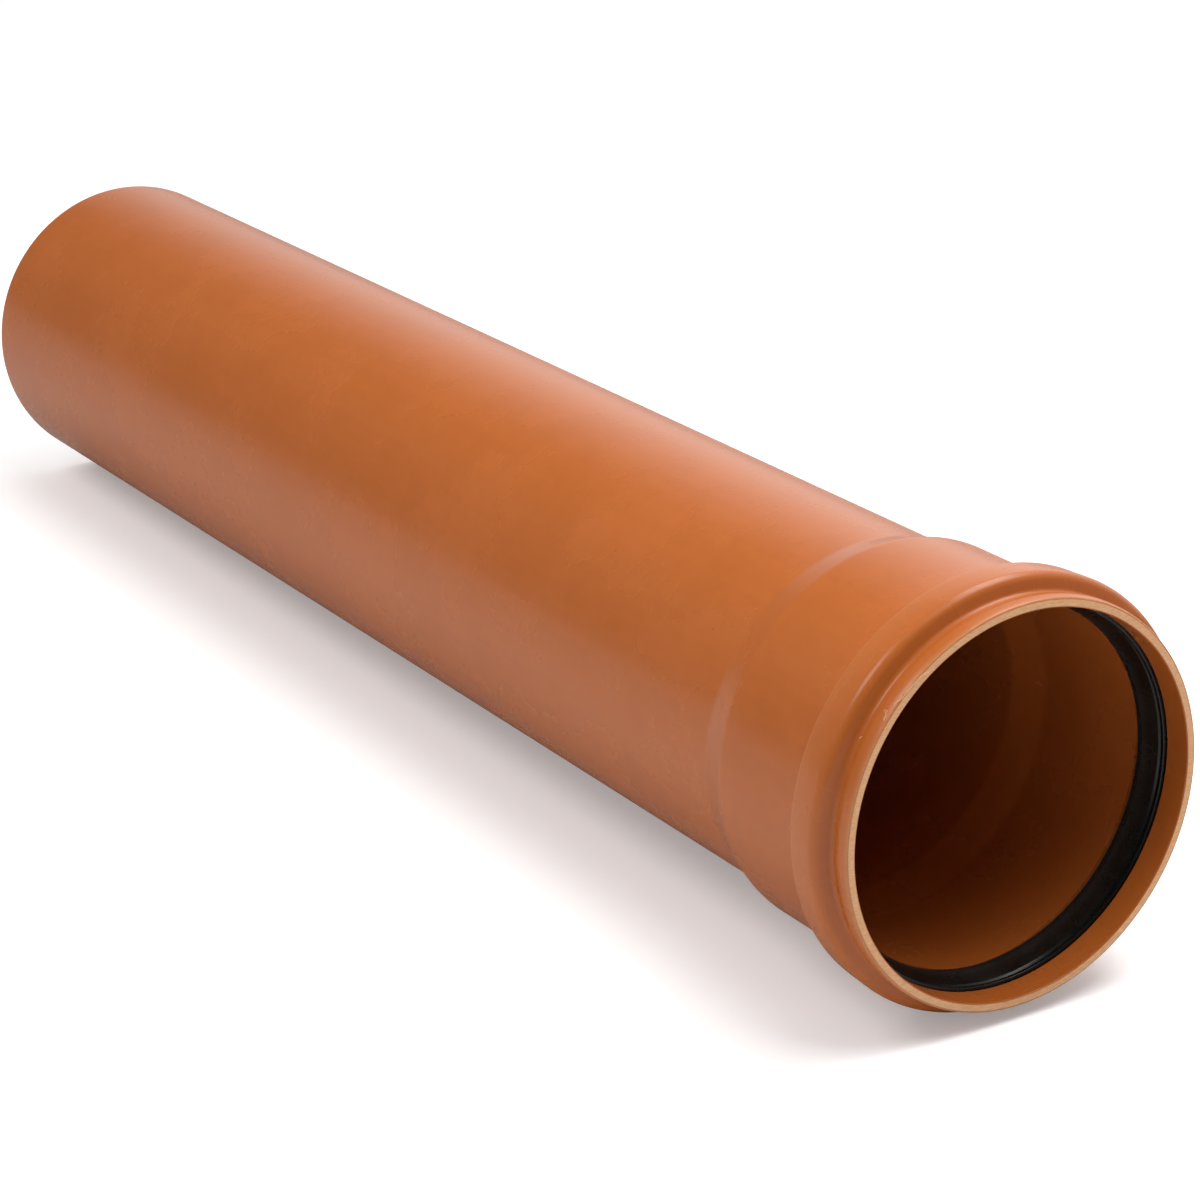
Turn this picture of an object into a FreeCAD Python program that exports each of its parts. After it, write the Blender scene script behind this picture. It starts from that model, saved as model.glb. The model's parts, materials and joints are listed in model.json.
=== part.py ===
"""A short length of orange-brown PVC sewer pipe with its formed socket and rubber seal ring.

Nominal size 110 x 3.2, laying length 500 mm. Millimetres, +Z up. The pipe lies on a level floor:
it touches at the socket's bead and at the spigot end, so its axis rises slightly towards the
socket, which points along +X. The origin is on the floor, under the middle of the pipe.
"""
import FreeCAD
import Part
import Sketcher
import math
import os

doc = FreeCAD.newDocument("sewer_pipe")

# Driving dimensions. "From the mouth" is measured along the pipe, and radii from its axis.
SIZES = {
    # the extruded pipe
    "barrel_radius": 55.0,         # outside; the pipe is 110 mm across
    "barrel_wall": 3.2,
    "laying_length": 500.0,        # spigot end to the end of the flare
    "spigot_chamfer": 1.5,         # edge broken all round after the saw cut
    # the socket, blown out of the pipe's own end
    "socket_length": 72.4,         # mouth to the end of the flare
    "socket_clearance": 0.4,       # between the socket and the next pipe's spigot, all round
    "socket_wall": 3.0,
    "flare_length": 11.5,          # where the socket narrows to the pipe
    "flare_blend": 9.0,            # soft radius at each end of the flare
    # the lip in front of the bead
    "lip_clearance": 1.4,          # between the lip and the next pipe's spigot, all round
    "lip_wall": 2.8,
    "lip_fullest": 3.6,            # from the mouth to the place where the lip is fullest
    "lip_swell": 0.5,              # the lip stands out this much more there than at the mouth
    "lip_swell_round": 6.0,        # soft radius over that place
    "lip_edge": 0.4,               # rounding of the mouth's inner edge
    "lip_outer_edge": 0.7,         # rounding of its outer edge
    # the bead that holds the seal ring
    "bead_front": 7.5,             # from the mouth to the valley between lip and bead
    "bead_valley": 1.3,            # depth of that valley below the lip's end
    "bead_valley_round": 1.5,
    "bead_front_slope": 1.8,       # length of the bead's steep front
    "bead_height": 4.4,            # its top stands this far out from the lip
    "bead_crown": 11.0,            # from the top of the front to the back corner
    "bead_taper": 0.6,             # the crown falls this much towards its back corner
    "bead_back_slope": 2.2,
    "bead_shoulder": 3.0,          # rounding of the front shoulder
    "bead_corner": 0.8,            # rounding of the back corner
    "bead_foot": 1.0,              # rounding behind the bead
    "bead_wall": 2.9,              # over the seal groove inside the bead
    "bead_back_wall": 1.3,         # the groove's back corner lies this far in front of the bead's
    "groove_set_back": 1.0,        # the groove starts this far behind the valley
    "groove_front_slope": 0.8,
    "groove_back_slope": 1.6,
    # the rubber ring in that groove
    "seal_clearance": 0.3,         # between the ring and the groove
    "seal_nose_step": 0.8,         # the ring's front edge stands in this far from the lip's bore
    "seal_lip_reach": 7.3,         # from the groove's front to the ring's free inner edge
    "seal_lip_land": 2.0,          # length of that edge
    "seal_squeeze": 1.6,           # that edge is this much smaller than the spigot's radius
    "seal_root": 2.2,              # rubber left outside the hollow behind the lip, where it flexes
    "seal_hollow_width": 1.2,
    "seal_heel_width": 1.4,        # flange behind the hollow, flush with the lip's bore
    "seal_edge": 0.4,              # rounding of the ring's moulded edges
}
sheet = doc.addObject("Spreadsheet::Sheet", "sizes")
for row, (name, value) in enumerate(SIZES.items(), start=1):
    sheet.set(f"A{row}", name)
    sheet.set(f"B{row}", str(value))
    sheet.setAlias(f"B{row}", name)
doc.recompute()


def value_of(expression):
    """The number that an expression in the sheet's names gives."""
    return float(sheet.evalExpression(expression))


def bound(expression):
    """The same expression as another object writes it, with the sheet's name before each alias."""
    words = expression.replace("(", "( ").replace(")", " )").split()
    return " ".join(f"sizes.{word}" if word in SIZES else word for word in words)


def from_mouth(distance):
    """A place on the pipe's axis, counted from the spigot end, that lies this far inside the mouth."""
    return f"laying_length + socket_length - ({distance})"


def rounding_arc(corner, before, after, radius):
    """The arc that rounds a corner: (arc, end of the line before, start of the line after, is left turn)."""
    way_in = (corner - before).normalize()
    way_out = (after - corner).normalize()
    turn = math.atan2(way_in.cross(way_out).z, way_in.dot(way_out))
    setback = radius * math.tan(abs(turn) / 2)
    start = corner - way_in * setback
    end = corner + way_out * setback
    side = math.copysign(1, turn)
    centre = start + FreeCAD.Vector(-way_in.y, way_in.x, 0) * radius * side
    first, last = (start, end) if turn > 0 else (end, start)
    angles = [math.atan2(point.y - centre.y, point.x - centre.x) for point in (first, last)]
    if angles[1] < angles[0]:
        angles[1] += 2 * math.pi
    circle = Part.Circle(centre, FreeCAD.Vector(0, 0, 1), radius)
    return Part.ArcOfCircle(circle, *angles), start, end, turn > 0


def limit(sketch, expression, kind, *places):
    """Add a dimension to a sketch, bound to an expression in the sheet's names."""
    number = sketch.addConstraint(Sketcher.Constraint(kind, *places, value_of(expression)))
    sketch.setExpression(f"Constraints[{number}]", bound(expression))


def turned_body(label, outline):
    """A body turned about its X axis from a closed outline.

    Each corner of the outline is (place along, radius) or (place along, radius, rounding). A rounded
    corner stays in the sketch as a point that both lines run through.
    """
    body = doc.addObject("PartDesign::Body", label)
    body.Label = label
    planes = {plane.Role: plane for plane in body.Origin.OriginFeatures}
    sketch = body.newObject("Sketcher::SketchObject", label + "_section")
    sketch.AttachmentSupport = [(planes["XZ_Plane"], "")]
    sketch.MapMode = "FlatFace"
    count = len(outline)
    corners = [FreeCAD.Vector(value_of(corner[0]), value_of(corner[1]), 0) for corner in outline]
    starts, ends, arcs = list(corners), list(corners), {}
    for i, corner in enumerate(outline):
        if len(corner) == 3:
            neighbours = corners[i - 1], corners[(i + 1) % count]
            arc, ends[i], starts[i], left = rounding_arc(corners[i], *neighbours, value_of(corner[2]))
            arcs[i] = (arc, left)
    for i in range(count):
        sketch.addGeometry(Part.LineSegment(starts[i], ends[(i + 1) % count]), False)
    for i, corner in enumerate(outline):
        before = (i - 1) % count
        if i in arcs:
            arc, left = arcs[i]
            number = sketch.addGeometry(arc, False)
            arc_start, arc_end = (1, 2) if left else (2, 1)
            sketch.addConstraint(Sketcher.Constraint("Tangent", before, 2, number, arc_start))
            sketch.addConstraint(Sketcher.Constraint("Tangent", number, arc_end, i, 1))
            limit(sketch, corner[2], "Radius", number)
            place = sketch.addGeometry(Part.Point(corners[i]), True)
            sketch.addConstraint(Sketcher.Constraint("PointOnObject", place, 1, before))
            sketch.addConstraint(Sketcher.Constraint("PointOnObject", place, 1, i))
        else:
            sketch.addConstraint(Sketcher.Constraint("Coincident", before, 2, i, 1))
            place = i
        limit(sketch, corner[0], "DistanceX", -1, 1, place, 1)
        limit(sketch, corner[1], "DistanceY", -1, 1, place, 1)
    turned = body.newObject("PartDesign::Revolution", label + "_turned")
    turned.Profile = sketch
    turned.ReferenceAxis = (sketch, ["H_Axis"])
    turned.Angle = 360.0
    doc.recompute()
    return body


# The pipe and its socket: one extruded wall, its end blown out hot over a former.
barrel_bore = "barrel_radius - barrel_wall"
socket_bore = "barrel_radius + socket_clearance"
socket_outside = f"{socket_bore} + socket_wall"
lip_bore = "barrel_radius + lip_clearance"
lip_outside = f"{lip_bore} + lip_wall"
bead_radius = f"{lip_outside} + bead_height"
bead_top_place = "bead_front + bead_front_slope"
bead_corner_place = f"{bead_top_place} + bead_crown"
groove_place = "bead_front + groove_set_back"
groove_back_place = f"{bead_corner_place} - bead_back_wall"
groove_radius = f"{bead_radius} - bead_wall"
flare_place = "socket_length - flare_length"

chamfer_edge = ("spigot_chamfer", "barrel_radius")
pipe = turned_body("pipe", [
    (from_mouth("0"), lip_outside, "lip_outer_edge"),
    (from_mouth("lip_fullest"), f"{lip_outside} + lip_swell", "lip_swell_round"),
    (from_mouth("bead_front"), f"{lip_outside} - bead_valley", "bead_valley_round"),
    (from_mouth(bead_top_place), bead_radius, "bead_shoulder"),
    (from_mouth(bead_corner_place), f"{bead_radius} - bead_taper", "bead_corner"),
    (from_mouth(f"{bead_corner_place} + bead_back_slope"), socket_outside, "bead_foot"),
    (from_mouth(flare_place), socket_outside, "flare_blend"),
    ("laying_length", "barrel_radius", "flare_blend"),
    chamfer_edge,
    ("0", "barrel_radius - spigot_chamfer"),
    ("0", barrel_bore),
    ("laying_length", barrel_bore, "flare_blend"),
    (from_mouth(flare_place), socket_bore, "flare_blend"),
    (from_mouth(f"{groove_back_place} + groove_back_slope"), socket_bore),
    (from_mouth(groove_back_place), groove_radius),
    (from_mouth(f"{groove_place} + groove_front_slope"), groove_radius),
    (from_mouth(groove_place), lip_bore),
    (from_mouth("0"), lip_bore, "lip_edge"),
])

# The seal: one moulded rubber ring that fills the groove, with a lip that leans in from its nose.
nose_place = f"{groove_place} + seal_clearance"
lip_back_place = f"{groove_place} + seal_lip_reach + seal_lip_land"
seal_back_place = f"{groove_back_place} - seal_clearance"
seal_outside = f"{groove_radius} - seal_clearance"
hollow_radius = f"{seal_outside} - seal_root"
seal_lip_radius = "barrel_radius - seal_squeeze"
heel_back_place = f"{seal_back_place} + groove_back_slope / 2"
heel_front_place = f"{heel_back_place} - seal_heel_width"
seal_ring = turned_body("seal_ring", [
    (from_mouth(nose_place), f"{lip_bore} - seal_nose_step", "seal_edge"),
    (from_mouth(nose_place), lip_bore),
    (from_mouth(f"{nose_place} + groove_front_slope"), seal_outside),
    (from_mouth(seal_back_place), seal_outside),
    (from_mouth(heel_back_place), lip_bore),
    (from_mouth(heel_front_place), lip_bore),
    (from_mouth(heel_front_place), hollow_radius),
    (from_mouth(f"{heel_front_place} - seal_hollow_width"), hollow_radius),
    (from_mouth(lip_back_place), seal_lip_radius, "seal_edge"),
    (from_mouth(f"{groove_place} + seal_lip_reach"), seal_lip_radius, "seal_edge"),
])

# At rest on the floor: the heel of the spigot end and the highest circle of the bead carry it.
circles = [(edge.Curve.Center.x, edge.Curve.Radius)
           for edge in pipe.Shape.Edges if isinstance(edge.Curve, Part.Circle)]
heel_x, heel_radius = value_of(chamfer_edge[0]), value_of(chamfer_edge[1])
rise = max(math.atan2(radius - heel_radius, x - heel_x) for x, radius in circles if x > heel_x)
low_end = min(x * math.cos(rise) - radius * math.sin(rise) for x, radius in circles)
high_end = max(x * math.cos(rise) + radius * math.sin(rise) for x, radius in circles)
bottom = min(x * math.sin(rise) - radius * math.cos(rise) for x, radius in circles)
at_rest = FreeCAD.Placement(
    FreeCAD.Vector(-(low_end + high_end) / 2, 0, -bottom),
    FreeCAD.Rotation(FreeCAD.Vector(0, 1, 0), -math.degrees(rise)),
)
pipe.Placement = at_rest
seal_ring.Placement = at_rest
doc.recompute()

for body in (pipe, seal_ring):
    section = body.Group[0]
    if section.solve() != 0 or not section.FullyConstrained:
        raise RuntimeError(f"{section.Label} isn't fully constrained")
for item in doc.Objects:
    if "Invalid" in item.State or "Error" in item.State:
        raise RuntimeError(f"{item.Label} did not recompute: {item.State}")
os.makedirs("parts", exist_ok=True)
for body in (pipe, seal_ring):
    shape = body.Shape
    if shape.isNull() or not shape.isValid() or len(shape.Solids) != 1:
        raise RuntimeError(f"{body.Label} is not one valid solid")
    shape.exportStep(f"parts/{body.Label}.step")
    print(body.Label, "volume", round(shape.Volume), "mm3, rise", round(math.degrees(rise), 3))
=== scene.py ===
"""A 110 mm orange-brown PVC sewer pipe, half a metre long, with its formed socket and rubber ring.

The file follows the pipe as it is made: the extruded wall with its socket, the rubber ring pressed
into the socket's bead, the shavings that the saw left on the mouth, then the studio. Units are
metres.
"""
import json
import bpy
import numpy as np
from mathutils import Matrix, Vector


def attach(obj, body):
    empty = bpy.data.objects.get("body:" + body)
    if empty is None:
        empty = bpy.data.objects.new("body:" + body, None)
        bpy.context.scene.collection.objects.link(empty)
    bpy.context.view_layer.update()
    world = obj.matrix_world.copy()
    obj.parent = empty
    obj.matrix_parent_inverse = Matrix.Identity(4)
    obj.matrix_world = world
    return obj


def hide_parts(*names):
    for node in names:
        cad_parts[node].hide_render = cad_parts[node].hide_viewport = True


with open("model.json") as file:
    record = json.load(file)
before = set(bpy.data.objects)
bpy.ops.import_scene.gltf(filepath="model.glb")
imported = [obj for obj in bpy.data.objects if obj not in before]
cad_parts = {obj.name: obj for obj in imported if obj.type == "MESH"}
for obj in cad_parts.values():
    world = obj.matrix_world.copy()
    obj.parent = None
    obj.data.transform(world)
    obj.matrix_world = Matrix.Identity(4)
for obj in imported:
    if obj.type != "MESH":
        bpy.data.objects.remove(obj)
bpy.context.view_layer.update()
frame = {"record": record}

# ---------------------------------------------------------------------------------------------
# The pipe: one wall of PVC-U, extruded, sawn square at both ends and blown out hot at one end
# over a former, which leaves the flare, the socket, the bead that holds the seal, and the lip.
# ---------------------------------------------------------------------------------------------
mounts = {mount["name"]: mount for mount in frame["record"]["mounts"]}
spigot = mounts["spigot"]
along = -np.array(spigot["axis"])            # unit vector from the spigot end to the mouth
across = np.array([0.0, 1.0, 0.0])
upright = np.cross(along, across)
chamfer = 0.0015
spigot_end = np.array(spigot["pos_m"]) - along * (spigot["dims"]["length_mm"] / 2000 + chamfer)
laying_length, socket_depth = 0.5, 0.0724
overall = laying_length + socket_depth
barrel_radius = spigot["dims"]["r_mm"] / 1000
bore_radius = mounts["pipe_bore"]["dims"]["r_mm"] / 1000
socket_clearance, socket_wall = 0.0004, 0.0030
socket_bore = barrel_radius + socket_clearance
socket_outside = socket_bore + socket_wall
lip_clearance, lip_wall, lip_swell, valley_depth = 0.0014, 0.0028, 0.0005, 0.0013
lip_bore = barrel_radius + lip_clearance
lip_outside = lip_bore + lip_wall
bead_height, bead_fall, bead_wall = 0.0044, 0.0006, 0.0029
bead_radius = lip_outside + bead_height
groove_radius = bead_radius - bead_wall
# distances inside the mouth
lip_fullest, bead_front, bead_top, bead_corner = 0.0036, 0.0075, 0.0093, 0.0203
groove_front, groove_back = 0.0085, 0.0190
flare_start = 0.0609
# how far a slope runs along the axis, and the rounding of the flare and of the broken edges
bead_back_slope, groove_front_slope, groove_back_slope = 0.0022, 0.0008, 0.0016
flare_round, edge_break = 0.0090, 0.0002


def rounded_outline(corners, spacing):
    """A closed outline as an array of (place, radius).

    corners are (place, radius, rounding). A sharp corner stays a point. A rounded one becomes the arc
    that both runs touch: centre + rounding * (cos a, sin a), with a turning evenly from one run's
    normal to the other's. The runs between corners are divided evenly, at most spacing apart.
    """
    points = np.array([corner[:2] for corner in corners], dtype=float)
    rounding = np.array([corner[2] for corner in corners], dtype=float)
    way_in = points - np.roll(points, 1, axis=0)
    way_in /= np.linalg.norm(way_in, axis=1, keepdims=True)
    way_out = np.roll(way_in, -1, axis=0)
    turn = np.arctan2(way_in[:, 0] * way_out[:, 1] - way_in[:, 1] * way_out[:, 0],
                      (way_in * way_out).sum(axis=1))
    setback = (rounding * np.tan(np.abs(turn) / 2))[:, None]
    starts, ends = points - way_in * setback, points + way_out * setback
    pieces = []
    for i in range(len(points)):
        if rounding[i] > 0:
            side = np.sign(turn[i])
            centre = starts[i] + side * rounding[i] * np.array([-way_in[i, 1], way_in[i, 0]])
            spoke = starts[i] - centre
            steps = max(3, int(np.ceil(abs(turn[i]) / np.radians(9))))
            angle = np.linspace(0, turn[i], steps + 1)[:, None]
            pieces.append(centre + np.cos(angle) * spoke
                          + np.sin(angle) * np.array([-spoke[1], spoke[0]]))
        else:
            pieces.append(points[i:i + 1])
        run_end = starts[(i + 1) % len(points)]
        count = int(np.ceil(np.linalg.norm(run_end - ends[i]) / spacing))
        share = np.linspace(0, 1, count + 1)[1:-1, None]
        pieces.append(ends[i] + (run_end - ends[i]) * share)
    return np.concatenate(pieces)


def turned_piece(name, outline, around, masks):
    """A ring-shaped surface, turned about the axis from a closed outline.

    p(s, t) = spigot_end + along * x(s) + r(s) * (upright cos t + across sin t), where
    s runs round the closed outline and t round the axis. Each mask is a value for every outline point
    that the material reads, and "wrap" is (x, R cos t, R sin t) with R the barrel's radius, so that a
    pattern on it runs straight along the wall, whatever the wall's own radius is.
    """
    turn = np.linspace(0, 2 * np.pi, around, endpoint=False)
    spokes = np.cos(turn)[:, None] * upright + np.sin(turn)[:, None] * across
    place, radius = outline[:, 0], outline[:, 1]
    grid = spigot_end + along * place[:, None, None] + radius[:, None, None] * spokes[None]
    number = np.arange(len(outline) * around).reshape(len(outline), around)
    here, next_round = number, np.roll(number, -1, axis=1)
    ahead, ahead_round = np.roll(here, -1, axis=0), np.roll(next_round, -1, axis=0)
    quads = np.stack([here, ahead, ahead_round, next_round], axis=-1).reshape(-1, 4)
    mesh = bpy.data.meshes.new(name)
    mesh.from_pydata(grid.reshape(-1, 3), [], quads)
    mesh.polygons.foreach_set("use_smooth", np.ones(len(quads), dtype=bool))
    crisp_from = np.radians(28)
    mesh.set_sharp_from_angle(angle=crisp_from)
    wrap = np.empty(grid.shape)
    wrap[..., 0] = place[:, None]
    wrap[..., 1] = barrel_radius * np.cos(turn)[None]
    wrap[..., 2] = barrel_radius * np.sin(turn)[None]
    mesh.attributes.new("wrap", "FLOAT_VECTOR", "POINT").data.foreach_set("vector", wrap.ravel())
    for mask, values in masks.items():
        spread = np.repeat(values[:, None], around, axis=1)
        mesh.attributes.new(mask, "FLOAT", "POINT").data.foreach_set("value", spread.ravel())
    piece = bpy.data.objects.new(name, mesh)
    bpy.context.scene.collection.objects.link(piece)
    return piece


def from_mouth(distance):
    """A place along the axis, counted from the spigot end, that lies this far inside the mouth."""
    return overall - distance


pipe_outline = rounded_outline([
    (from_mouth(0), lip_outside, 0.0007),
    (from_mouth(lip_fullest), lip_outside + lip_swell, 0.0060),
    (from_mouth(bead_front), lip_outside - valley_depth, 0.0015),
    (from_mouth(bead_top), bead_radius, 0.0030),
    (from_mouth(bead_corner), bead_radius - bead_fall, 0.0008),
    (from_mouth(bead_corner + bead_back_slope), socket_outside, 0.0010),
    (from_mouth(flare_start), socket_outside, flare_round),
    (laying_length, barrel_radius, flare_round),
    (chamfer, barrel_radius, edge_break),
    (0.0, barrel_radius - chamfer, edge_break),
    (0.0, bore_radius, edge_break),
    (laying_length, bore_radius, flare_round),
    (from_mouth(flare_start), socket_bore, flare_round),
    (from_mouth(groove_back + groove_back_slope), socket_bore, 0.0),
    (from_mouth(groove_back), groove_radius, 0.0),
    (from_mouth(groove_front + groove_front_slope), groove_radius, 0.0),
    (from_mouth(groove_front), lip_bore, edge_break),
    (from_mouth(0), lip_bore, 0.0004),
], spacing=0.012)
place, radius = pipe_outline.T
hair = 1e-6
mouth_face = (place > overall - hair) & (radius > lip_bore) & (radius < lip_outside)
spigot_face = (place < hair) | ((place < chamfer + hair) & (radius > bore_radius + 1e-4))
# the two distances below feed one mask: it makes the wall paler towards the mouth's outer edge, and
# paints a highlight as a thin pale line along the bead's back corner
edge_distance = np.hypot(place - overall, radius - lip_outside)
painted_highlight_distance = np.hypot(place - from_mouth(bead_corner), radius - bead_radius + bead_fall)
edge_width, painted_highlight_width = 0.0006, 0.00035
pipe_wall = turned_piece("pipe_wall", pipe_outline, around=360, masks={
    "sawn": (mouth_face | spigot_face).astype(float),
    "pale_edge_and_highlight": (np.exp(-(edge_distance / edge_width) ** 2)
                  + np.exp(-(painted_highlight_distance / painted_highlight_width) ** 2)),
})


def effect_group(name, inputs, outputs):
    """An empty shader node group with the given sockets: (group, its input node, its output node)."""
    group = bpy.data.node_groups.new(name, "ShaderNodeTree")
    for socket, kind, value in inputs:
        made = group.interface.new_socket(socket, in_out="INPUT", socket_type=kind)
        if value is not None:
            made.default_value = value
    for socket, kind in outputs:
        group.interface.new_socket(socket, in_out="OUTPUT", socket_type=kind)
    return group, group.nodes.new("NodeGroupInput"), group.nodes.new("NodeGroupOutput")


def put(tree, kind, values=None, links=None):
    """Add a node, set its properties and sockets from values, and feed its sockets from links."""
    node = tree.nodes.new(kind)
    for key, value in (values or {}).items():
        if isinstance(key, str) and hasattr(node, key):
            setattr(node, key, value)
        else:
            node.inputs[key].default_value = value
    for key, source in (links or {}).items():
        tree.links.new(source, node.inputs[key])
    return node


def handling_marks():
    """How evenly a surface shines: cloudy areas that hands and stacking left, and a fine mottling."""
    group, taken, given = effect_group("handling_marks", [
        ("Vector", "NodeSocketVector", None),
        ("Cloud Scale", "NodeSocketFloat", 30.0),
        ("Mottle Scale", "NodeSocketFloat", 240.0),
    ], [("Cloud", "NodeSocketFloat"), ("Mottle", "NodeSocketFloat")])
    vector = taken.outputs["Vector"]
    cloud = put(group, "ShaderNodeTexNoise", {"Detail": 4.0, "Roughness": 0.55},
                {"Vector": vector, "Scale": taken.outputs["Cloud Scale"]})
    mottle = put(group, "ShaderNodeTexNoise", {"Detail": 1.0, "Roughness": 0.5},
                 {"Vector": vector, "Scale": taken.outputs["Mottle Scale"]})
    group.links.new(cloud.outputs["Fac"], given.inputs["Cloud"])
    group.links.new(mottle.outputs["Fac"], given.inputs["Mottle"])
    return group


marks = handling_marks()


def pvc_finish(name):
    """Pigmented PVC-U: satin skin with faint lines along the die, chalky where the saw cut it."""
    material = bpy.data.materials.new(name)
    material.use_nodes = True
    tree = material.node_tree
    tree.nodes.clear()
    wrap = put(tree, "ShaderNodeAttribute", {"attribute_name": "wrap"}).outputs["Vector"]
    used = put(tree, "ShaderNodeGroup", {"node_tree": marks}, {"Vector": wrap})
    die_lines = (3.0, 420.0, 420.0)              # lines per metre, along the wall and round it
    stretched = put(tree, "ShaderNodeVectorMath", {"operation": "MULTIPLY", 1: die_lines},
                    {0: wrap})
    die = put(tree, "ShaderNodeTexNoise", {"Scale": 1.0, "Detail": 3.0, "Roughness": 0.6},
              {"Vector": stretched.outputs[0]})
    skin = put(tree, "ShaderNodeTexNoise", {"Scale": 1600.0, "Detail": 2.0}, {"Vector": wrap})
    shade = put(tree, "ShaderNodeValToRGB", {}, {"Fac": used.outputs["Cloud"]})
    shade.color_ramp.elements[0].position = 0.30
    shade.color_ramp.elements[0].color = (0.385, 0.098, 0.0165, 1)
    shade.color_ramp.elements[1].position = 0.70
    shade.color_ramp.elements[1].color = (0.415, 0.108, 0.0195, 1)
    streak = put(tree, "ShaderNodeMapRange",
                 {"From Min": 0.3, "From Max": 0.7, "To Min": 0.985, "To Max": 1.015},
                 {"Value": die.outputs["Fac"]})
    lined = put(tree, "ShaderNodeVectorMath", {"operation": "SCALE"},
                {0: shade.outputs["Color"], "Scale": streak.outputs[0]})
    speckle = put(tree, "ShaderNodeMapRange",
                  {"From Min": 0.2, "From Max": 0.8, "To Min": 0.98, "To Max": 1.02},
                  {"Value": used.outputs["Mottle"]})
    mottled = put(tree, "ShaderNodeVectorMath", {"operation": "SCALE"},
                  {0: lined.outputs[0], "Scale": speckle.outputs[0]})
    # the sawn faces: pale and chalky, with the fine straight tracks of the saw's teeth
    flat = put(tree, "ShaderNodeTexCoord").outputs["Object"]
    saw_tracks = (500.0, 600.0, 4200.0)          # tracks per metre: the saw ran level, along y
    tracks = put(tree, "ShaderNodeVectorMath", {"operation": "MULTIPLY", 1: saw_tracks}, {0: flat})
    saw = put(tree, "ShaderNodeTexNoise", {"Scale": 1.0, "Detail": 3.0, "Roughness": 0.65},
              {"Vector": tracks.outputs[0]})
    chalk = put(tree, "ShaderNodeValToRGB", {}, {"Fac": saw.outputs["Fac"]})
    chalk.color_ramp.elements[0].position = 0.32
    chalk.color_ramp.elements[0].color = (0.60, 0.30, 0.135, 1)
    chalk.color_ramp.elements[1].position = 0.68
    chalk.color_ramp.elements[1].color = (0.78, 0.46, 0.25, 1)
    sawn = put(tree, "ShaderNodeAttribute", {"attribute_name": "sawn"}).outputs["Fac"]
    edge = put(tree, "ShaderNodeAttribute", {"attribute_name": "pale_edge_and_highlight"}).outputs["Fac"]
    # the edge mask pulls the colour towards chalk: paler towards the mouth's outer edge, and a
    # painted highlight along the bead's back corner
    edge_paling_and_highlight = 0.35
    chalk_share_and_highlight = put(tree, "ShaderNodeMath",
                   {"operation": "MULTIPLY_ADD", 1: edge_paling_and_highlight, "use_clamp": True},
                   {0: edge, 2: sawn})
    coloured = put(tree, "ShaderNodeMix", {"data_type": "RGBA"},
                   {0: chalk_share_and_highlight.outputs[0], 6: mottled.outputs[0], 7: chalk.outputs["Color"]})
    satin = put(tree, "ShaderNodeMapRange",
                {"From Min": 0.3, "From Max": 0.7, "To Min": 0.25, "To Max": 0.29},
                {"Value": used.outputs["Cloud"]})
    chalk_roughness = 0.85
    rougher = put(tree, "ShaderNodeMix", {"data_type": "FLOAT", 3: chalk_roughness},
                  {0: sawn, 2: satin.outputs[0]})
    # heights in metres, each centred on zero, so that no step runs round the sawn faces
    line_depth, grain_depth, track_depth = 0.000012, 0.000004, 0.00005
    lines = put(tree, "ShaderNodeMath",
                {"operation": "MULTIPLY_ADD", 1: line_depth, 2: -(line_depth + grain_depth) / 2},
                {0: die.outputs["Fac"]})
    grainy = put(tree, "ShaderNodeMath", {"operation": "MULTIPLY_ADD", 1: grain_depth},
                 {0: skin.outputs["Fac"], 2: lines.outputs[0]})
    toothed = put(tree, "ShaderNodeMath",
                  {"operation": "MULTIPLY_ADD", 1: track_depth, 2: -track_depth / 2},
                  {0: saw.outputs["Fac"]})
    height = put(tree, "ShaderNodeMix", {"data_type": "FLOAT"},
                 {0: sawn, 2: grainy.outputs[0], 3: toothed.outputs[0]})
    relief = put(tree, "ShaderNodeBump", {"Strength": 1.0, "Distance": 1.0},
                 {"Height": height.outputs[0]})
    shader = put(tree, "ShaderNodeBsdfPrincipled", {"IOR": 1.5},
                 {"Base Color": coloured.outputs[2], "Roughness": rougher.outputs[0],
                  "Normal": relief.outputs[0]})
    put(tree, "ShaderNodeOutputMaterial", {}, {"Surface": shader.outputs[0]})
    return material


pipe_wall.data.materials.append(pvc_finish("pvc_u_orange_brown"))
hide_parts("pipe")
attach(pipe_wall, "root")

# ---------------------------------------------------------------------------------------------
# The seal: one ring of moulded EPDM rubber, greased and pressed into the groove inside the bead.
# A small round bead at its front closes the gap to the lip; behind it the free lip leans inwards.
# ---------------------------------------------------------------------------------------------
seal_lip_radius = mounts["socket_seal"]["dims"]["r_mm"] / 1000
seat_gap = 0.0003
seal_outside = groove_radius - seat_gap
seal_outline = rounded_outline([
    (from_mouth(0.0088), lip_bore - 0.00100, 0.0004),
    (from_mouth(0.0088), lip_bore, 0.0002),
    (from_mouth(0.0096), seal_outside, 0.0003),
    (from_mouth(0.0187), seal_outside, 0.0003),
    (from_mouth(0.0195), lip_bore, 0.0003),
    (from_mouth(0.0181), lip_bore, 0.0003),
    (from_mouth(0.0181), seal_outside - 0.0022, 0.0003),
    (from_mouth(0.0169), seal_outside - 0.0022, 0.0003),
    (from_mouth(0.0178), seal_lip_radius, 0.0004),
    (from_mouth(0.0158), seal_lip_radius, 0.0006),
    (from_mouth(0.0108), lip_bore - 0.0012, 0.0010),
    (from_mouth(0.0102), lip_bore - 0.0007, 0.0002),
    (from_mouth(0.0097), lip_bore - 0.0010, 0.0003),
], spacing=0.0006)
seal_radius = seal_outline[:, 1]
tip_width = 0.0006
seal = turned_piece("seal_rubber", seal_outline, around=360, masks={
    "tip": np.exp(-((seal_radius - seal_lip_radius) / tip_width) ** 2),
})


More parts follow.
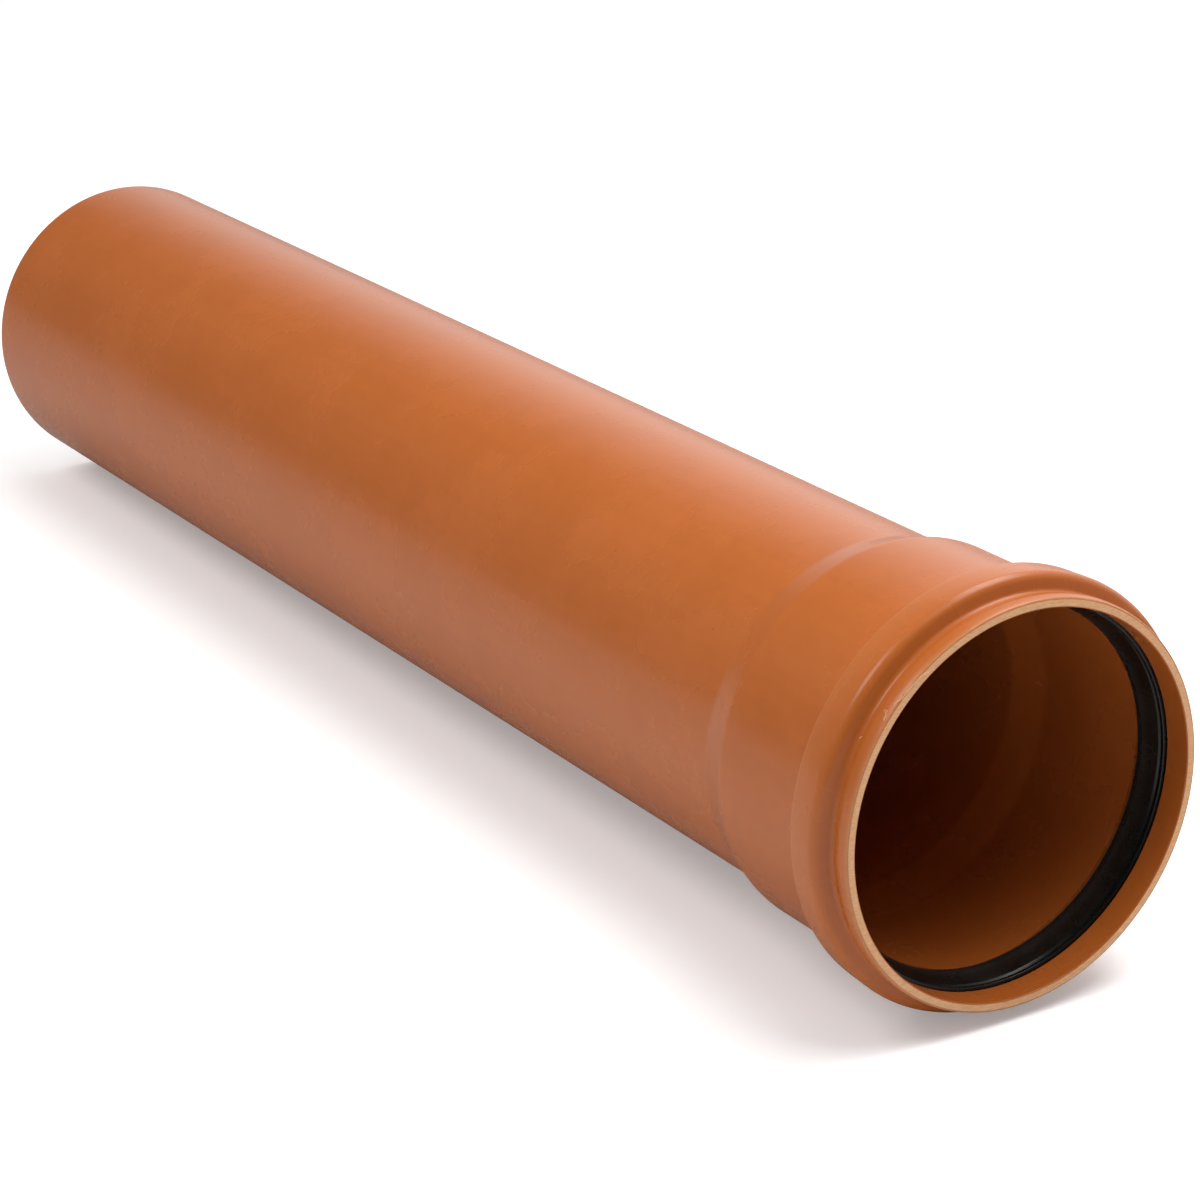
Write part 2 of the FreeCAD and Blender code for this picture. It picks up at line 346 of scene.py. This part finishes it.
def rubber_finish(name):
    """Black EPDM: faint flow lines round the ring, a film of grease, the free edge rubbed grey."""
    material = bpy.data.materials.new(name)
    material.use_nodes = True
    tree = material.node_tree
    tree.nodes.clear()
    wrap = put(tree, "ShaderNodeAttribute", {"attribute_name": "wrap"}).outputs["Vector"]
    used = put(tree, "ShaderNodeGroup", {"node_tree": marks, "Cloud Scale": 90.0},
               {"Vector": wrap})
    flow_lines = (2600.0, 40.0, 40.0)            # lines per metre, along the axis and round it
    stretched = put(tree, "ShaderNodeVectorMath", {"operation": "MULTIPLY", 1: flow_lines},
                    {0: wrap})
    flow = put(tree, "ShaderNodeTexNoise", {"Scale": 1.0, "Detail": 3.0},
               {"Vector": stretched.outputs[0]})
    black = put(tree, "ShaderNodeValToRGB", {}, {"Fac": used.outputs["Cloud"]})
    black.color_ramp.elements[0].position = 0.30
    black.color_ramp.elements[0].color = (0.0030, 0.0046, 0.0042, 1)
    black.color_ramp.elements[1].position = 0.72
    black.color_ramp.elements[1].color = (0.0060, 0.0082, 0.0075, 1)
    tip = put(tree, "ShaderNodeAttribute", {"attribute_name": "tip"}).outputs["Fac"]
    tip_wear, rubbed_grey, flow_depth = 0.25, (0.045, 0.042, 0.038, 1), 0.00003
    worn = put(tree, "ShaderNodeMath", {"operation": "MULTIPLY", 1: tip_wear}, {0: tip})
    greyed = put(tree, "ShaderNodeMix", {"data_type": "RGBA", 7: rubbed_grey},
                 {0: worn.outputs[0], 6: black.outputs["Color"]})
    greased = put(tree, "ShaderNodeMapRange",
                  {"From Min": 0.32, "From Max": 0.68, "To Min": 0.20, "To Max": 0.34},
                  {"Value": used.outputs["Cloud"]})
    lines = put(tree, "ShaderNodeMath", {"operation": "MULTIPLY", 1: flow_depth},
                {0: flow.outputs["Fac"]})
    relief = put(tree, "ShaderNodeBump", {"Strength": 1.0, "Distance": 1.0},
                 {"Height": lines.outputs[0]})
    shader = put(tree, "ShaderNodeBsdfPrincipled", {"IOR": 1.5},
                 {"Base Color": greyed.outputs[2], "Roughness": greased.outputs[0],
                  "Normal": relief.outputs[0]})
    put(tree, "ShaderNodeOutputMaterial", {}, {"Surface": shader.outputs[0]})
    return material


seal.data.materials.append(rubber_finish("seal_epdm_black"))
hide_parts("seal_ring")
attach(seal, "root")

# ---------------------------------------------------------------------------------------------
# The shavings: thin curls of PVC that the saw left hanging on the upper left of the mouth, pale
# like the sawn face, one of them hooked over the lip's outer edge.
# ---------------------------------------------------------------------------------------------
def shavings(name, curls):
    """Thin curls lying on the mouth, as one object.

    Each curl is (angles, radii, lifts, width): numbers at even steps along it, angles in degrees
    from upright towards across, lifts measured out from the mouth. Its middle line m(s) is the
    smooth curve through them, and its skin is m(s) + w(s) (n cos v + b sin v / 2), a ribbon that
    narrows to both ends as w = width sqrt(sin(pi s)), where n points out from the axis and b
    completes the frame.
    """
    steps, sides = 41, 8
    verts, quads = [], []
    first = 0
    for angles, radii, lifts, width in curls:
        knots = np.linspace(0, 1, len(angles))
        s = np.linspace(0.02, 0.98, steps)
        angle, radius, lift = [np.polyval(np.polyfit(knots, values, len(values) - 1), s)
                               for values in (angles, radii, lifts)]
        angle = np.radians(angle)
        outwards = np.cos(angle)[:, None] * upright + np.sin(angle)[:, None] * across
        middle = spigot_end + outwards * radius[:, None] + along * (overall + lift)[:, None]
        forwards = np.gradient(middle, axis=0)
        forwards /= np.linalg.norm(forwards, axis=1, keepdims=True)
        beside = np.cross(forwards, outwards)
        beside /= np.linalg.norm(beside, axis=1, keepdims=True)
        normal = np.cross(beside, forwards)
        v = np.linspace(0, 2 * np.pi, sides, endpoint=False)
        spread = (width * np.sqrt(np.sin(np.pi * s)))[:, None, None]
        skin = middle[:, None] + spread * (np.cos(v)[None, :, None] * normal[:, None]
                                           + np.sin(v)[None, :, None] / 2 * beside[:, None])
        number = first + np.arange(steps * sides).reshape(steps, sides)
        here, ahead = number[:-1], number[1:]
        corners = [here, ahead, np.roll(ahead, -1, 1), np.roll(here, -1, 1)]
        quads.append(np.stack(corners, -1).reshape(-1, 4))
        verts.append(skin.reshape(-1, 3))
        first += steps * sides
    mesh = bpy.data.meshes.new(name)
    mesh.from_pydata(np.concatenate(verts), [], np.concatenate(quads))
    mesh.polygons.foreach_set("use_smooth", np.ones(len(mesh.polygons), dtype=bool))
    sawn = mesh.attributes.new("sawn", "FLOAT", "POINT")
    sawn.data.foreach_set("value", np.ones(len(mesh.vertices)))
    piece = bpy.data.objects.new(name, mesh)
    bpy.context.scene.collection.objects.link(piece)
    return piece


curls = shavings("saw_shavings", [
    ((-46.5, -43.5, -40.5, -38.2, -36.2), (0.0588, 0.0593, 0.0590, 0.0592, 0.0576),
     (0.0001, 0.0003, 0.0003, 0.0008, 0.0002), 0.00028),
    ((-39.6, -38.2, -37.2, -36.4), (0.0588, 0.0594, 0.0588, 0.0580),
     (0.0002, 0.0009, 0.0008, 0.0003), 0.00022),
    ((-48.6, -47.6, -46.2, -45.4), (0.0592, 0.0601, 0.0597, 0.0606),
     (-0.0002, 0.0001, 0.0004, 0.0001), 0.00016),
    ((-53.0, -52.4, -51.6, -51.0), (0.0596, 0.0607, 0.0609, 0.0620),
     (-0.0004, 0.0002, 0.0003, -0.0002), 0.00020),
    ((-51.0, -50.6, -51.2), (0.0620, 0.0615, 0.0611), (-0.0002, 0.0004, 0.0002), 0.00014),
    ((-59.8, -59.4, -59.0), (0.0600, 0.0603, 0.0601), (-0.0052, -0.0049, -0.0046), 0.00016),
])
curls.data.materials.append(pipe_wall.data.materials[0])
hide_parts("pipe")
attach(curls, "root")

# ---------------------------------------------------------------------------------------------
# The studio: a pale floor, soft light from overhead, from the mouth's end and from the camera's
# side, and a camera that looks down into the socket along the pipe.
# ---------------------------------------------------------------------------------------------
half_floor = 6.0
floor_mesh = bpy.data.meshes.new("floor")
floor_mesh.from_pydata([(-half_floor, -half_floor, 0), (half_floor, -half_floor, 0),
                        (half_floor, half_floor, 0), (-half_floor, half_floor, 0)],
                       [], [(0, 1, 2, 3)])
floor = bpy.data.objects.new("floor", floor_mesh)
bpy.context.scene.collection.objects.link(floor)
paint = bpy.data.materials.new("floor_white")
paint.use_nodes = True
tree = paint.node_tree
tree.nodes.clear()
ray = put(tree, "ShaderNodeLightPath")
pale, pale_in_gloss, floor_glow = (0.86, 0.86, 0.86, 1), (0.42, 0.42, 0.42, 1), 0.26
tone = put(tree, "ShaderNodeMix", {"data_type": "RGBA", 6: pale, 7: pale_in_gloss},
           {0: ray.outputs["Is Glossy Ray"]})
matt = put(tree, "ShaderNodeBsdfDiffuse", {}, {"Color": tone.outputs[2]})
glow = put(tree, "ShaderNodeEmission", {"Color": (1, 1, 1, 1), "Strength": floor_glow})
seen = put(tree, "ShaderNodeAddShader", {}, {0: matt.outputs[0], 1: glow.outputs[0]})
mixed = put(tree, "ShaderNodeMixShader", {},
            {0: ray.outputs["Is Camera Ray"], 1: matt.outputs[0], 2: seen.outputs[0]})
put(tree, "ShaderNodeOutputMaterial", {}, {"Surface": mixed.outputs[0]})
floor_mesh.materials.append(paint)

world = bpy.data.worlds.new("studio")
world.use_nodes = True
bpy.context.scene.world = world
tree = world.node_tree
tree.nodes.clear()
direction = put(tree, "ShaderNodeTexCoord").outputs["Generated"]
# the room is dim ahead of the mouth, and what the gloss shows of it is bright on the far side
mouth_way, far_side = (1.0, 0.0, 0.0), (0.08, 0.99, 0.05)
ahead = put(tree, "ShaderNodeVectorMath", {"operation": "DOT_PRODUCT", 1: mouth_way},
            {0: direction})
soft = put(tree, "ShaderNodeMapRange",
           {"From Min": 0.0, "From Max": 0.8, "To Min": 0.80, "To Max": 0.06},
           {"Value": ahead.outputs["Value"]})
behind = put(tree, "ShaderNodeVectorMath", {"operation": "DOT_PRODUCT", 1: far_side},
             {0: direction})
gleam = put(tree, "ShaderNodeMapRange",
            {"interpolation_type": "SMOOTHSTEP",
             "From Min": -0.05, "From Max": 0.68, "To Min": 0.09, "To Max": 1.2},
            {"Value": behind.outputs["Value"]})
shade = put(tree, "ShaderNodeMapRange",
            {"From Min": -0.3, "From Max": 0.4, "To Min": 1.0, "To Max": 0.2},
            {"Value": ahead.outputs["Value"]})
mirrored = put(tree, "ShaderNodeMath", {"operation": "MULTIPLY"},
               {0: gleam.outputs[0], 1: shade.outputs[0]})
ray = put(tree, "ShaderNodeLightPath")
level = put(tree, "ShaderNodeMix", {"data_type": "FLOAT"},
            {0: ray.outputs["Is Glossy Ray"], 2: soft.outputs[0], 3: mirrored.outputs[0]})
sky = put(tree, "ShaderNodeBackground", {"Color": (1, 1, 1, 1)}, {"Strength": level.outputs[0]})
backdrop = put(tree, "ShaderNodeBackground", {"Color": (1, 1, 1, 1), "Strength": 1.0})
shown = put(tree, "ShaderNodeMixShader", {},
            {0: ray.outputs["Is Camera Ray"], 1: sky.outputs[0], 2: backdrop.outputs[0]})
put(tree, "ShaderNodeOutputWorld", {}, {"Surface": shown.outputs[0]})


def soft_light(name, place, aim, width, height, power):
    """A rectangular studio light that faces the aim point."""
    lamp = bpy.data.lights.new(name, "AREA")
    lamp.shape = "RECTANGLE"
    lamp.size, lamp.size_y, lamp.energy = width, height, power
    light = bpy.data.objects.new(name, lamp)
    bpy.context.scene.collection.objects.link(light)
    light.location = place
    light.rotation_euler = (Vector(aim) - Vector(place)).to_track_quat("-Z", "Y").to_euler()
    return light


soft_light("overhead_softbox", (0.15, 0.5, 1.15), (0.15, 0.0, 0.06), 1.0, 0.5, 6.5)
mouth_side = soft_light("mouth_side_softbox", (0.5, 0.15, 1.2), (0.25, 0.0, 0.06),
                        0.7, 0.7, 9.0)
mouth_side.visible_glossy = False
soft_light("side_softbox", (-0.2, -0.95, 1.3), (0.0, 0.0, 0.06), 0.9, 0.6, 6.0)

view_azimuth, view_elevation = np.radians(58.1), np.radians(21.136)
mouth = spigot_end + along * overall
right = np.array([np.cos(view_azimuth), np.sin(view_azimuth), 0.0])
look = np.array([-np.sin(view_azimuth) * np.cos(view_elevation),
                 np.cos(view_azimuth) * np.cos(view_elevation), -np.sin(view_elevation)])
up = np.cross(right, look)
lens = bpy.data.cameras.new("studio_camera")
lens.lens, lens.sensor_width = 104.7, 36.0
camera = bpy.data.objects.new("studio_camera", lens)
bpy.context.scene.collection.objects.link(camera)
distance, leftwards, upwards = 0.9369, 0.1144, 0.0559
camera.location = mouth - look * distance - right * leftwards + up * upwards
camera.rotation_euler = (np.pi / 2 - view_elevation, 0.0, view_azimuth)
bpy.context.scene.camera = camera

bpy.context.scene.view_settings.view_transform = "Standard"
